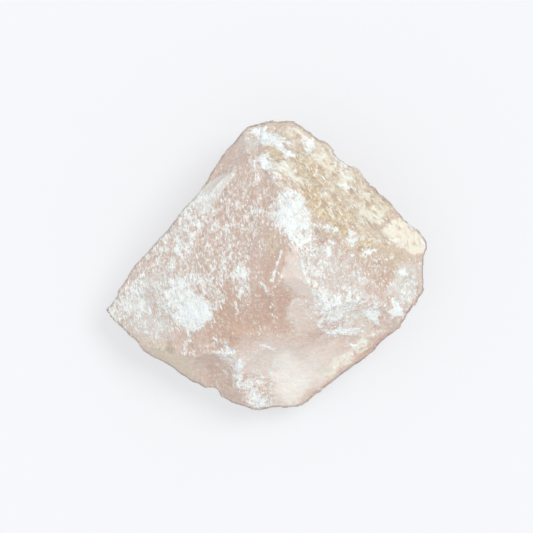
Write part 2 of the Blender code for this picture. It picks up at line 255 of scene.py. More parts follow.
# Patches of colour on the upper side, seen from above, by the finish that they carry: what each
# is, its middle in millimetres, half length, half width, heading of the length, and strength.
PATCHES = {
    "frost": (
        ("flecks of the left face", (-10.5, 9.0), 26.0, 12.0, 62, 0.39),
        ("flecks of the upper left rim", (-28.5, 6.0), 19.0, 6.0, 50, 0.34),
        ("flecks of the right face", (22.0, -2.0), 21.0, 12.0, -45, 0.27),
        ("flecks of the stained face", (20.0, 22.0), 26.0, 10.0, -42, 0.22),
        ("thin frost of the lower left", (-30.0, -11.5), 15.0, 9.0, 12, 0.3),
        ("crushed ridge", (6.7, 14.6), 6.6, 4.8, 112, 0.8),
        ("crushed ridge, its lower end", (9.4, 8.2), 5.0, 3.4, 120, 0.12),
        ("trail below the crushed ridge", (12.4, 1.5), 9.0, 3.6, 118, 0.19),
        ("big frost of the left face", (-19.8, -13.4), 5.5, 4.7, 35, 0.68),
        ("frost above the big frost", (-24.0, -5.5), 6.6, 4.0, 75, 0.22),
        ("frost of the left tip", (-38.5, -10.8), 6.0, 3.4, -15, 0.3),
        ("frost at the tip", (-42.5, -13.5), 3.0, 2.0, -50, 0.25),
        ("trail below the big frost", (-22.1, -21.5), 4.4, 1.0, 106, 0.6),
        ("white spot of the lower left", (-31.9, -19.3), 2.2, 1.2, -20, 0.35),
        ("frost in the middle", (-6.5, -4.6), 4.8, 2.2, 108, 0.42),
        ("frost of the crescent", (-17.9, 20.2), 3.2, 1.5, 45, 0.4),
        ("white cap", (0.0, 36.8), 5.2, 2.4, -24, 0.72),
        ("white spot under the cap", (0.1, 29.5), 2.1, 1.3, -28, 0.95),
        ("frost of the top right", (10.6, 34.5), 2.6, 1.8, 120, 0.55),
        ("white dash of the stain", (13.7, 26.4), 1.7, 0.5, 110, 0.7),
        ("second white dash of the stain", (23.1, 22.4), 1.4, 0.5, 120, 0.85),
        ("third white dash of the stain", (17.8, 11.3), 1.6, 0.7, 10, 0.65),
        ("frost at the upper rim", (21.8, 27.2), 4.0, 1.5, -42, 0.35),
        ("crushed lower right", (18.0, -13.2), 7.4, 4.8, 128, 0.44),
        ("lower edge of the crushed lower right", (20.6, -18.3), 5.4, 1.2, 3, 0.55),
        ("frost beside the crushed lower right", (29.9, -13.1), 2.8, 1.9, 100, 0.6),
        ("flecks beside the crushed lower right", (24.5, -11.0), 5.5, 3.2, 125, 0.22),
        ("frost of the right rim", (36.7, -12.2), 2.8, 1.6, 130, 0.8),
        ("frost of the right end", (40.0, -6.8), 4.8, 2.6, 70, 0.45),
        ("white spot of the right end", (38.6, -1.8), 1.6, 0.8, 120, 0.9),
        ("white spot under the stain", (24.0, 8.2), 2.3, 0.7, -6, 0.75),
        ("second white spot under the stain", (29.4, 4.6), 1.6, 0.7, -25, 0.8),
        ("third white spot under the stain", (17.4, 3.4), 1.8, 1.0, 80, 0.5),
        # Painted highlight: this white spot of frost stands for a highlight on the right corner.
        ("painted highlight on the corner", (43.9, 6.6), 1.5, 1.1, 100, 0.8),
        ("torn tip of the ledge", (-9.3, -23.0), 2.6, 0.9, -35, 0.7),
        ("crushed edge", (-7.8, -31.0), 10.0, 2.4, 119, 0.56),
        ("streaks beside the crushed edge", (-2.0, -34.5), 6.5, 3.4, 105, 0.42),
        ("frost of the bottom corner", (-1.5, -38.8), 4.5, 1.6, 0, 0.26),
        ("wisps above the crushed edge", (-13.5, -23.5), 3.0, 2.4, 100, 0.25),
        ("frost of the lower right rim", (24.6, -24.2), 11.0, 1.0, 38, 0.38),
    ),
    "cream": (
        ("cream beside the crushed lower right", (24.5, -11.8), 6.0, 4.2, -45, 0.4),
        ("cream rim", (22.0, 26.0), 16.0, 3.6, -43, 0.5),
        ("cream of the top rim", (7.7, 37.6), 2.6, 1.5, -30, 0.6),
        ("cream by the spot", (5.5, 26.6), 5.0, 2.2, -48, 0.8),
        ("cream streak", (29.4, 14.8), 4.0, 1.3, -24, 0.8),
        ("cream of the stained face", (17.0, 22.0), 20.0, 9.0, -42, 0.14),
        ("cream of the right end", (39.5, -4.0), 6.0, 3.6, 75, 0.28),
        ("cream of the bottom rim", (6.0, -38.8), 6.0, 1.6, 8, 0.6),
        ("cream of the lower right rim", (23.6, -25.0), 13.0, 1.7, 38, 0.8),
    ),
    "deep": (
        ("left side of the deep window", (-13.0, -15.5), 3.0, 6.5, -10, 0.5),
        ("right window", (32.2, 0.4), 6.8, 3.8, -12, 1.7),
        ("pink beside the right window", (26.5, -3.0), 5.0, 3.0, -40, 0.4),
        ("middle of the left face", (-9.5, 8.0), 13.0, 8.0, 70, 0.3),
        ("lower middle", (1.5, 1.0), 6.0, 3.0, 75, 0.5),
        ("first pink spot of the stain", (29.5, 18.2), 2.8, 1.7, -30, 0.85),
        ("second pink spot of the stain", (21.3, 20.0), 2.4, 1.3, -10, 0.85),
        ("third pink spot of the stain", (7.0, 32.6), 2.8, 1.2, 118, 0.6),
        ("lower left strip", (-21.0, -25.5), 8.0, 3.0, -30, 0.15),
        ("left shoulder", (-35.5, -3.5), 3.5, 2.0, 60, 0.3),
        ("shelf", (25.0, -20.5), 6.0, 2.0, 10, 0.25),
    ),
    "stain": (
        ("faint stain of the upper right", (21.0, 20.5), 30.0, 12.0, -42, 0.55),
        ("main stain", (16.8, 16.0), 9.5, 3.2, -42, 0.62),
        ("upper stain", (13.0, 26.5), 7.0, 3.0, -50, 0.42),
        ("stain by the cap", (5.0, 28.5), 5.5, 3.5, -45, 0.35),
        ("yellow dot by the cap", (1.3, 30.9), 0.9, 0.6, 0, 1.1),
        ("stain left of the crushed ridge", (1.6, 6.8), 3.8, 2.6, 35, 0.3),
        ("end of the stain", (27.0, 7.6), 3.6, 1.6, -40, 0.6),
        ("outer stain", (24.0, 22.5), 8.0, 3.0, -44, 0.3),
        ("tan strip", (-27.0, -25.5), 12.0, 3.4, -31, 0.3),
    ),
    "milk": (
        ("milk beside the cloud", (11.0, -32.0), 8.0, 4.5, 55, 0.45),
        ("milk of the lower face", (2.0, -27.0), 12.0, 4.5, 0, 0.28),
    ),
    "veil": (
        ("veil of the lower face", (5.0, -28.0), 17.0, 9.0, -5, 0.95),
        ("veil of the shelf", (21.0, -23.0), 14.0, 7.0, 38, 0.45),
        ("veil of the right face", (21.0, -6.0), 17.0, 10.0, -48, 0.4),
        ("veil of the left face", (-17.0, 5.0), 20.0, 8.0, 55, 0.25),
        ("veil of the tan strip", (-27.0, -25.0), 13.0, 3.6, -31, 0.8),
    ),
    "grey": (
        ("grey of the left tip", (-31.0, -10.5), 15.0, 8.5, 18, 0.92),
        ("grey of the lower left", (-30.0, -18.5), 9.0, 4.5, -25, 0.5),
        ("grey of the top left", (-2.0, 36.0), 6.0, 2.6, 10, 0.9),
        ("grey of the right face", (20.5, -4.0), 17.0, 9.0, -48, 0.8),
        ("grey of the upper left rim", (-27.0, 6.0), 18.0, 5.5, 50, 0.5),
        ("grey of the stained face", (19.0, 24.0), 24.0, 9.0, -42, 0.35),
        ("grey of the dark scar", (-12.0, -32.0), 7.0, 3.5, 118, 0.3),
        ("grey beside the cream corner", (33.5, 9.5), 5.0, 2.0, -50, 0.4),
        ("grey of the right end", (39.0, -5.0), 7.0, 4.5, 75, 1.2),
    ),
}
# A patch is full up to the first of these shares of its size and gone at the second, and no
# finish goes past the third number.
PATCH_CORE = 0.35
PATCH_END = 1.45
MOST_FINISH = 1.3

# Split faces that show as panes of their own: the outline seen from above, in millimetres, and
# each finish that the pane carries, with how soft its edge is in millimetres and its strength,
# which is below 0 where the pane is clearer than what lies round it.
PANES = {
    "ridge facet": (
        (
            (4.8, 4.3), (9.1, 4.3), (10.3, -1.2), (13.7, -9.3), (9.5, -8.0), (6.0, -5.5),
            (4.3, -2.2),
        ),
        (("grey", 1.2, 0.25), ("veil", 0.5, 0.8), ("frost", 0.5, -0.35)),
    ),
    "facet above the ledge": (
        (
            (6.9, -7.3), (12.8, -9.3), (14.0, -13.1), (14.4, -17.1), (8.4, -18.6), (5.1, -14.1),
            (5.9, -11.2),
        ),
        (("veil", 1.4, 0.8), ("grey", 1.8, 0.3), ("frost", 0.8, 0.12)),
    ),
    "crescent": (
        (
            (-21.6, 18.2), (-19.2, 20.6), (-16.6, 23.2), (-12.4, 25.6), (-8.7, 26.8),
            (-10.4, 23.6), (-12.5, 21.0), (-14.3, 18.3), (-16.5, 15.3), (-18.8, 14.6),
        ),
        (("grey", 0.4, 1.1), ("veil", 0.4, 0.7), ("milk", 0.4, 0.32), ("frost", 0.4, -0.06)),
    ),
    "cream corner": (
        (
            (32.4, 10.3), (35.2, 12.4), (37.7, 13.7), (43.6, 9.3), (44.8, 6.8), (44.5, 3.1),
            (41.1, 3.7), (37.7, 5.0),
        ),
        (("cream", 0.9, 1.0), ("stain", 0.6, -0.5)),
    ),
    "dark scar": (
        (
            (-16.4, -28.3), (-12.7, -24.9), (-10.5, -28.0), (-8.6, -33.0), (-7.7, -38.2),
            (-9.9, -38.9), (-15.5, -34.2),
        ),
        (("deep", 0.6, 0.35), ("frost", 0.6, 0.1)),
    ),
    "deep window": (
        (
            (-14.4, -10.0), (-11.1, -5.6), (-4.9, -8.1), (-1.2, -5.0), (6.6, -6.5), (6.6, -11.8),
            (5.0, -15.5), (7.5, -18.7), (-5.5, -18.7), (-8.6, -21.8), (-14.9, -21.8),
            (-16.1, -18.0),
        ),
        (("deep", 1.6, 0.8), ("frost", 0.8, 0.06)),
    ),
    "milky cloud": (
        (
            (1.9, -38.5), (1.8, -31.7), (3.5, -26.1), (6.3, -24.9), (9.4, -29.2), (11.3, -34.2),
            (7.5, -38.5),
        ),
        (("milk", 3.0, 0.7),),
    ),
    "top left facet": (
        (
            (-11.1, 29.5), (-7.4, 36.1), (-2.7, 34.8), (-2.1, 31.7), (-4.0, 28.0), (-8.6, 26.4),
            (-13.0, 24.9),
        ),
        (("deep", 0.8, 0.15), ("grey", 0.8, 0.35)),
    ),
}

# Narrow lines on the upper side, by the finish that they carry: what each is, its half width
# in millimetres, its strength and its points.
LINES = {
    "frost": (
        ("arc below the cap", 0.8, 1.0, ((2.4, 35.6), (5.0, 32.4), (7.4, 30.8))),
        ("long streak", 0.45, 1.0, ((-25.2, 7.6), (-24.7, 5.0), (-23.8, 2.4))),
        ("crack", 0.3, 0.75, ((3.8, 4.3), (2.8, 0.0), (1.8, -4.0), (0.6, -4.3))),
        ("right side of the ridge facet", 0.5, 0.6, ((9.0, 4.3), (10.6, -1.5), (13.8, -9.5))),
        ("streak of the lower face", 0.6, 0.4, (
            (2.6, -26.2), (1.3, -29.0), (1.6, -33.0), (0.6, -38.0),
        )),
        ("scratch of the shelf", 0.3, 0.8, ((22.5, -21.4), (24.5, -22.6), (25.6, -22.4))),
        ("scratch of the ledge", 0.3, 0.8, ((-1.5, -22.0), (1.2, -22.8), (2.4, -23.8))),
        ("long scratch", 0.3, 0.5, ((26.0, 3.5), (30.5, 1.5), (36.5, 2.6))),
        ("short streak", 0.4, 0.8, ((-7.0, -1.0), (-6.4, -5.0), (-7.6, -8.0))),
        ("foot of the ledge", 0.8, 0.55, (
            (14.2, -15.5), (15.8, -18.2), (18.5, -19.2), (23.6, -19.0), (25.9, -18.2),
        )),
        ("first thread of the deep window", 0.25, 0.55, ((-8.8, -9.5), (-7.9, -12.0), (-8.6, -14.2))),
        ("second thread of the deep window", 0.22, 0.55, ((0.8, -11.0), (1.6, -13.2), (3.4, -14.6))),
        ("third thread of the deep window", 0.22, 0.55, ((-3.5, -15.8), (-1.8, -17.4), (-2.4, -19.2))),
        ("edge of the crescent", 0.3, 0.55, (
            (-8.7, 26.8), (-10.4, 23.6), (-12.5, 21.0), (-14.3, 18.3), (-16.5, 15.3),
        )),
        ("small fork", 0.35, 0.9, ((-1.6, -4.5), (-0.4, -6.6), (-0.4, -7.4))),
    ),
    "deep": (
        # Painted glow: this deep pink line along the thin lower right rim stands for light that passes
        # through the edge.
        ("peach edge of the lower right rim", 0.8, 0.8, (
            (34.5, -19.6), (27.0, -25.6), (19.0, -31.8), (13.0, -37.0),
        )),
    ),
}

# A line is full up to the first of these shares of its half width, and gone at the second.
LINE_FADE = (0.4, 1.5)

# How the noise texture's usual span of values is mapped, from low and high to low and high, and
# how far its lumps are bent.
NOISE_SPREAD = (0.3, 0.7, -1.0, 1.0)
NOISE_BEND = 0.3

# The quartz's noises: size of the lumps in millimetres, detail, roughness, and how much longer
# the lumps are along the flecks' heading, or none where they are round.
NOISES = {
    "broad": (8.0, 4.0, 0.55, None),
    "middle": (2.6, 4.0, 0.6, None),
    "small": (1.0, 3.0, 0.6, None),
    "speck": (0.5, 2.0, 0.55, None),
    "streaks": (0.5, 3.0, 0.6, 3.0),
    "clumps": (1.3, 4.0, 0.65, 1.8),
    "winding": (0.9, 1.0, 0.55, 2.2),
}

# Rough places are mottled and calm ones less: where the sum of frost and stain starts and ends
# this, and the share of the mottle that calm places keep.
ROUGH = (0.0, 0.5)
LEAST_MOTTLE = 0.50

# What the amount of each layer is made of: its name, the finish or earlier mix that it starts
# from, the number that multiplies it once the noises are added to that, or none where the noises
# are added to the finish itself, and the weight of each noise.
MIXES = (
    ("edged frost", "frost", None, (("edge", 0.25),)),
    ("frosting", "edged frost", 1.0, (("middle", 0.35), ("clumps", 0.30), ("broad", 0.15))),
    ("deepness", "deep", None, (("broad", 0.25), ("middle", 0.20))),
    ("mottle", "rough", 0.0, (("clumps", 0.60), ("streaks", 0.55), ("small", 0.40), ("speck", 0.45))),
    ("veiling", "veil", None, (("broad", 0.20), ("middle", 0.25), ("small", 0.12), ("streaks", 0.12))),
    ("rust", "stain", 1.0, (("middle", 0.50), ("small", 0.30))),
    ("thick rust", "rust", None, (("clumps", 0.45), ("middle", 0.20), ("speck", 0.25))),
    ("brown crumbs", "rust", 0.0, (("clumps", -1.2), ("middle", -1.3), ("speck", -0.5))),
    ("golden crumbs", "rust", 0.0, (("streaks", 0.7), ("small", 1.1), ("clumps", 0.5))),
    ("greyness", "grey", None, (("middle", 0.35), ("small", 0.30), ("streaks", 0.30), ("clumps", 0.25))),
    ("creaminess", "cream", 1.0, (("middle", 0.7), ("clumps", 0.7))),
    ("milkiness", "milk", 1.0, (("middle", 0.20), ("broad", 0.15))),
    ("thick frost", "frosting", None, (("clumps", 0.22), ("streaks", 0.20), ("speck", 0.15))),
    ("curl places", "frosting", None, (("clumps", 0.35), ("streaks", 0.25))),
    ("lace places", "frosting", None, (("small", 0.30), ("middle", 0.20))),
)

# The layers of colour over the pink, from the bottom up: the mix, the colour, the amounts at
# which the layer starts and is full, and its share there.
LAYERS = (
    ("deepness", "deep_pink", -0.3, 1.0, 1.0),
    ("mottle", "veil", -0.10, 0.85, 1.0),
    ("mottle", "deep_pink", 0.0, -0.8, 0.9),
    ("veiling", "veil", 0.1, 1.1, 0.9),
    ("rust", "tan", 0.0, 0.5, 0.8),
    ("thick rust", "ochre", 0.35, 1.05, 0.9),
    ("brown crumbs", "brown", 0.10, 0.55, 0.9),
    ("golden crumbs", "yellow", 0.15, 0.65, 0.9),
    ("greyness", "grey", 0.05, 1.4, 0.9),
    ("creaminess", "cream", 0.05, 1.0, 0.95),
    ("milkiness", "milk", 0.0, 0.9, 0.9),
    ("frosting", "haze", 0.15, 1.1, 0.85),
    ("frost", "haze", 0.50, 1.0, 0.85),
    ("thick frost", "frost", 0.50, 1.40, 0.95),
)

# How far a fleck reaches from the middle of its cell, in cells: for each unit of frost, for the
# luck of the draw, and with neither. The sides of the cells are bent by this much noise.
FLECK_GROWTH = 0.60
FLECK_LUCK = 0.78
FLECK_START = -0.46
FLECK_SOFTNESS = 0.16
FAINTEST_FLECK = 0.30
FINE_FLECKS = 0.6
CELL_BEND = 1.1
CELL_BEND_NOISE = {"Scale": 1.4, "Detail": 2.0, "Roughness": 0.6}

# The lace of thin white threads: width of its cells, how much longer they are than wide, half
# width of a thread where it starts and where it is full, in cells, and the amounts at which the
# lace starts and is full, with its share there.
LACE_CELL = 1.15 * MM
LACE_STRETCH = 1.6
LACE_THREAD = (0.15, 0.05)
LACE_SHOWS = (0.35, 0.85, 0.95)

# Curls run where the winding noise is near 0: how near a curl starts and is full, and the
# amounts at which curls start and are full.
CURL_LINE = (0.20, 0.06)
CURLS_SHOW = (0.35, 0.65)

# The bump of the fine skin: the weight of each part, how strongly it shows and how deep it is.
BUMPS = (("large flecks", 0.5), ("mottle", 0.6), ("speck", 0.10), ("small", 0.15))
BUMP_STRENGTH = 0.7
BUMP_DEPTH = 0.3 * MM
QUARTZ_IOR = 1.54

# How far the camera sees, in metres.
CAMERA_REACH = 10.0


def paint(red, green, blue):
    """A screen colour of 0 to 255 a channel as the linear colour that materials take."""
    return tuple(
        value / 12.92 if value <= 0.04045 else ((value + 0.055) / 1.055) ** 2.4
        for value in (red / 255, green / 255, blue / 255)
    )


def colour(name, description, red, green, blue):
    return FloatVectorProperty(
        name=name,
        description=description,
        subtype="COLOR",
        size=3,
        min=0.0,
        max=1.0,
        default=paint(red, green, blue),
    )


def length(name, description, millimetres):
    return FloatProperty(
        name=name,
        description=description,
        subtype="DISTANCE",
        unit="LENGTH",
        min=0.0,
        precision=5,
        default=millimetres * MM,
    )


def angle(name, description, degrees):
    return FloatProperty(
        name=name,
        description=description,
        subtype="ANGLE",
        unit="ROTATION",
        default=math.radians(degrees),
    )


def share(name, description, value):
    return FloatProperty(
        name=name, description=description, subtype="FACTOR", min=0.0, max=1.0, default=value
    )


def strength(name, description, value):
    return FloatProperty(name=name, description=description, min=0.0, default=value)


def lens_length(name, description, millimetres):
    return FloatProperty(
        name=name,
        description=description,
        subtype="DISTANCE_CAMERA",
        unit="CAMERA",
        default=millimetres,
    )


class QuartzSizes(bpy.types.PropertyGroup):
    """Sizes of the stone's skin."""

    skin_voxel: length("Skin mesh", "Side of the even mesh that covers the stone", 0.44)
    lump_size: length("Lump size", "Width of the broad lumps", 12.0)
    lump_height: length("Lump height", "Rise and fall of the broad lumps", 1.5)
    grit_size: length("Grit size", "Width of the small lumps", 3.5)
    grit_height: length("Grit height", "Rise and fall of the small lumps", 0.6)
    facet_size: length("Facet size", "Width of the small broken facets", 5.5)
    facet_height: length("Facet height", "Rise and fall of the small facets", 0.8)
    chip_size: length("Chip size", "Width of the smallest facets", 2.2)
    chip_height: length("Chip height", "Rise and fall of the smallest facets", 0.32)
    step_height: length("Step height", "Height of the small fracture steps", 0.45)
    fleck_length: length("Fleck length", "Length of the cell that holds one large fleck", 2.2)
    fleck_width: length("Fleck width", "Width of the cell that holds one large fleck", 0.56)
    fleck_height: length("Fleck height", "Rise of the flecks above the skin", 0.16)
    crumb_size: length("Crumb size", "Width of the crumbs in the frost", 0.9)
    crumb_height: length("Crumb height", "Rise and fall of the frost", 0.14)
    base_grid: length("Underside mesh", "Side of the faces on the resting face", 3.0)
    glow: length("Glow depth", "How far light passes into the quartz", 2.5)


class QuartzColours(bpy.types.PropertyGroup):
    """Colours and gloss of the quartz."""

    pink: colour("Pink", "Body of the quartz", 209, 187, 174)
    deep_pink: colour("Deep pink", "Clear windows into the quartz", 198, 167, 148)
    veil: colour("Veil", "Cloudy pale quartz", 224, 211, 201)
    grey: colour("Grey", "Grey haze on the skin", 213, 210, 204)
    tan: colour("Tan", "Faint iron stain", 213, 198, 175)
    ochre: colour("Ochre", "Iron stain", 207, 180, 138)
    yellow: colour("Yellow", "Golden crumbs in the iron stain", 231, 217, 177)
    brown: colour("Brown", "Pink-brown crumbs in the iron stain", 189, 164, 146)
    cream: colour("Cream", "Cream crumbs and rims", 236, 232, 214)
    milk: colour("Milk", "Milky clouds under the skin", 238, 233, 225)
    haze: colour("Haze", "Thin frost over the pink", 224, 223, 218)
    frost: colour("Frost", "Crushed quartz", 236, 247, 246)
    fleck: colour("Flecks", "White flecks and curls", 247, 254, 252)
    # Painted shade: the rim colour is a grey line along the outer edge seen from above, standing for the
    # shadow under that edge.
    rim: colour("Rim", "Grey shade along the outer edge", 108, 100, 94)
    glow_tint: colour("Glow", "Tint of the light that passes through", 255, 190, 165)
    translucence: share("Translucence", "Share of the light that passes into the quartz", 0.35)
    gloss: share("Roughness", "Roughness of the clear quartz", 0.42)
    frost_gloss: share("Frost roughness", "Roughness of the frost", 0.80)


class QuartzStage(bpy.types.PropertyGroup):
    """Table, light and camera."""

    table_side: length("Table side", "Side of the table top", 6000.0)
    table_colour: colour("Table", "Colour of the table top", 233, 234, 236)
    table_diffuse: share("Table reflection", "Share of its colour that the table reflects", 0.42)
    table_glow: strength("Table glow", "Light that the table gives off", 0.625)
    sky_colour: colour("Sky", "Colour of the light from all round", 250, 251, 253)
    sky_light: strength("Light all round", "Strength of the even light", 0.79)
    lamp_light: strength("Lamp", "Strength of the soft lamp", 1.32)
    lamp_heading: angle("Lamp heading", "Side that it shines from, anticlockwise from +X", 36.0)
    lamp_rise: angle("Lamp rise", "Height of the lamp above the horizontal", 57.0)
    lamp_spread: angle("Lamp spread", "Angle that the lamp fills, which softens the shadow", 30.0)
    fill_light: strength("Fill lamp", "Strength of the weaker lamp across from the first", 0.50)
    fill_heading: angle("Fill heading", "Side that it shines from, anticlockwise from +X", 215.0)
    fill_rise: angle("Fill rise", "Height of the fill lamp above the horizontal", 50.0)
    fill_spread: angle("Fill spread", "Angle that the fill lamp fills", 90.0)
    focal_length: lens_length("Focal length", "Camera lens, for the sensor below", 300.0)
    sensor_width: lens_length("Sensor width", "Width of the camera's sensor", 36.0)
    view_width: length("View width", "Width that the picture covers at the stone's rim", 150.57)
    rim_height: length("Rim height", "Height of the stone's rim above the table", 15.0)
    below_middle: length("Below the middle", "How far below the stone's middle the picture is", 0.08)


def direction(heading, rise):
    """Unit vector at this heading and this far above the horizontal, in degrees."""
    across = math.cos(math.radians(rise))
    return Vector(
        (
            across * math.cos(math.radians(heading)),
            across * math.sin(math.radians(heading)),
            math.sin(math.radians(rise)),
        )
    )


def split_off(bm, geom, through, outward, clear):
    """Cuts along a plane and returns the edges of the cut."""
    cut = bmesh.ops.bisect_plane(
        bm, geom=geom, plane_co=through, plane_no=outward, clear_outer=clear
    )
    return [item for item in cut["geom_cut"] if isinstance(item, bmesh.types.BMEdge)]


def split_block():
    """A block split along every named face, which leaves a stone with flat faces."""
    bm = bmesh.new()
    bmesh.ops.create_cube(bm, size=BLOCK_SIDE)
    splits = [
        (Vector(through) * MM, direction(heading, rise))
        for _, heading, rise, through in TOP_FACES + WALL_FACES + FOOT_FACES
    ]
    splits.append((-UP * SPARE_BELOW, -UP))
    for through, outward in splits:
        rim = split_off(bm, bm.verts[:] + bm.edges[:] + bm.faces[:], through, outward, True)
        if rim:
            bmesh.ops.contextual_create(bm, geom=rim)
    bmesh.ops.recalc_face_normals(bm, faces=bm.faces[:])
    return bm


def facing_frame(outward):
    """Matrix whose Z looks outward, whose X is level and whose Y runs up the face."""
    level = UP.cross(outward).normalized()
    return Matrix((level, outward.cross(level), outward)).transposed()


def scar_cutter(struck, outward, width, height, depth, turn):
    """A round cutter whose near side leaves a shallow bowl of this width, height and depth."""
    half = width / 2
    radius = (half * half + depth * depth) / (2 * depth)
    facing = facing_frame(outward) @ Matrix.Rotation(math.radians(turn), 3, "Z")
    bm = bmesh.new()
    bmesh.ops.create_icosphere(bm, subdivisions=SCAR_SUBDIVISIONS, radius=radius)
    bmesh.ops.scale(bm, vec=(1.0, height / width, 1.0), verts=bm.verts[:])
    bmesh.ops.rotate(bm, matrix=facing, verts=bm.verts[:])
    bmesh.ops.translate(bm, vec=struck + outward * (radius - depth), verts=bm.verts[:])
    return bm


def chip_cutter(draw, edges, lengths):
    """A cube that takes a flat chip off one edge of the block, drawn at random."""
    edge = draw.choices(edges, weights=lengths)[0]
    start, end = (corner.co for corner in edge.verts)
    place = start.lerp(end, draw.uniform(*CHIP_STRETCH))
    outward = (edge.link_faces[0].normal + edge.link_faces[1].normal).normalized()
    side = draw.uniform(*CHIP_SIDE) * MM
    depth = draw.uniform(*CHIP_DEPTH) * MM
    tilt = [math.radians(draw.uniform(-CHIP_TILT, CHIP_TILT)) for _ in range(2)]
    turn = Euler((tilt[0], tilt[1], draw.uniform(0.0, math.tau))).to_matrix()
    bm = bmesh.new()
    bmesh.ops.create_cube(bm, size=side)
    bmesh.ops.rotate(bm, matrix=facing_frame(outward) @ turn, verts=bm.verts[:])
    bmesh.ops.translate(bm, vec=place + outward * (side / 2 - depth), verts=bm.verts[:])
    return bm


def broken_cutters(block):
    """Every scar and chip cutter as named objects outside the scene."""
    tree = BVHTree.FromBMesh(block)
    shapes = []
    for name, aim, heading, rise, width, height, depth, turn in SCARS:
        outward = direction(heading, rise)
        struck = tree.ray_cast(Vector(aim) * MM + outward * BLOCK_SIDE, -outward)[0]
        shapes.append((name, scar_cutter(struck, outward, width * MM, height * MM, depth * MM, turn)))
    draw = random.Random(CHIP_SEED)
    edges = [edge for edge in block.edges if edge.calc_face_angle() > CHIP_LEAST_ANGLE]
    lengths = [edge.calc_length() for edge in edges]
    for number in range(CHIP_COUNT):
        shapes.append((f"chip {number + 1}", chip_cutter(draw, edges, lengths)))
    cutters = []
    for name, bm in shapes:
        mesh = bpy.data.meshes.new(name)
        bm.to_mesh(mesh)
        bm.free()
        cutters.append(bpy.data.objects.new(name, mesh))
    return cutters


def settle_modifiers(stone):
    """Makes the shape that the modifiers give the stone's own mesh."""
    bpy.context.view_layer.update()
    evaluated = stone.evaluated_get(bpy.context.evaluated_depsgraph_get())
    shaped = bpy.data.meshes.new_from_object(evaluated)
    old = stone.data
    stone.modifiers.clear()
    stone.data = shaped
    bpy.data.meshes.remove(old)
    shaped.name = STONE


def broken_block():
    """The split block with its scars and chips taken off, as an object in the scene."""
    block = split_block()
    mesh = bpy.data.meshes.new(STONE)
    block.to_mesh(mesh)
    stone = bpy.data.objects.new(STONE, mesh)
    bpy.context.scene.collection.objects.link(stone)
    cutters = broken_cutters(block)
    block.free()
    for cutter in cutters:
        bpy.context.scene.collection.objects.link(cutter)
        boolean = stone.modifiers.new(cutter.name, "BOOLEAN")
        boolean.operation = "DIFFERENCE"
        boolean.solver = "EXACT"
        boolean.object = cutter
    settle_modifiers(stone)
    for cutter in cutters:
        shape = cutter.data
        bpy.data.objects.remove(cutter)
        bpy.data.meshes.remove(shape)
    return stone


def add_skin(stone, sizes):
    """Covers the broken block with an even fine mesh, and adds its lumps."""
    remesh = stone.modifiers.new("even skin", "REMESH")
    remesh.mode = "VOXEL"
    remesh.voxel_size = sizes.skin_voxel
    rises = (("lumps", sizes.lump_size, sizes.lump_height), ("grit", sizes.grit_size, sizes.grit_height))
    for name, size, height in rises:
        texture = bpy.data.textures.new(name, "CLOUDS")
        texture.noise_scale = size
        displace = stone.modifiers.new(name, "DISPLACE")
        displace.texture = texture
        displace.texture_coords = "LOCAL"
        displace.direction = "NORMAL"
        displace.mid_level = 0.5
        displace.strength = height
    settle_modifiers(stone)


def on_resting_face(face):
    return face.normal.z < -LEVEL and abs(face.calc_center_median().z) < ON_TABLE


def cut_resting_face(stone, grid):
    """Cuts the foot off level, closes it, and divides the resting face into a grid."""
    bm = bmesh.new()
    bm.from_mesh(stone.data)
    rim = split_off(bm, bm.verts[:] + bm.edges[:] + bm.faces[:], (0.0, 0.0, 0.0), -UP, True)
    base = bmesh.ops.contextual_create(bm, geom=rim)["faces"]
    bmesh.ops.recalc_face_normals(bm, faces=bm.faces[:])
    for axis in range(2):
        places = [vert.co[axis] for face in base for vert in face.verts]
        outward = Vector((axis == 0, axis == 1, 0.0))
        for step in range(math.ceil(min(places) / grid), math.ceil(max(places) / grid)):
            geom = set(base)
            for face in base:
                geom.update(face.edges)
                geom.update(face.verts)
            split_off(bm, list(geom), outward * step * grid, outward, False)
            base = [face for face in bm.faces if on_resting_face(face)]
    for face in bm.faces:
        face.smooth = True
    for face in base:
        face.smooth = False
    bm.to_mesh(stone.data)
    bm.free()


def swell_sides(stone):
    """Moves the sides out or in by heading round the middle, and less towards the middle."""
    places = np.empty(len(stone.data.vertices) * 3, np.float32)
    stone.data.vertices.foreach_get("co", places)
    places = places.reshape(-1, 3)
    x, y = places[:, 0], places[:, 1]
    away = np.hypot(x, y)
    heading = np.degrees(np.arctan2(y, x)) % 360.0
    farthest = np.zeros(360)
    np.maximum.at(farthest, heading.astype(int) % 360, away)
    outline = np.interp(heading, np.arange(360) + 0.5, farthest, period=360.0)
    headings, swells = np.array(SWELLS).T
    out = np.interp(heading, headings, swells, period=360.0) * MM
    out *= fade(away / outline, SWELL_START, 1.0) / np.maximum(away, MM)
    places[:, :2] *= 1.0 + out[:, None]
    stone.data.vertices.foreach_set("co", places.ravel())
    stone.data.update()


def centre_on(stone, low, high):
    """Moves the stone level, so that the middle of its box is over the middle of this one."""
    corners = [Vector(corner) for corner in stone.bound_box]
    shift = (low + high - corners[0] - corners[6]) / 2
    stone.data.transform(Matrix.Translation((shift.x, shift.y, 0.0)))


def fade(values, low, high):
    """0 at low, 1 at high, with a smooth rise between them."""
    rise = np.clip((values - low) / (high - low), 0.0, 1.0)
    return rise * rise * (3.0 - 2.0 * rise)


def noise_places(points, size, shift):
    """Each point in units of the lump size, moved to where this noise is read."""
    moved = Vector([shift * part for part in SHIFT_SLANT])
    return [Vector(point) / size + moved for point in points]


def cloud(points, size, shift):
    """Smooth noise of about -1 to 1 at each point, with lumps of this size."""
    return np.array([noise.noise(place) for place in noise_places(points, size, shift)])


def wander(points, size, shift):
    """A smooth random move at each point, as a row of three numbers."""
    return np.array([noise.noise_vector(place)[:] for place in noise_places(points, size, shift)])


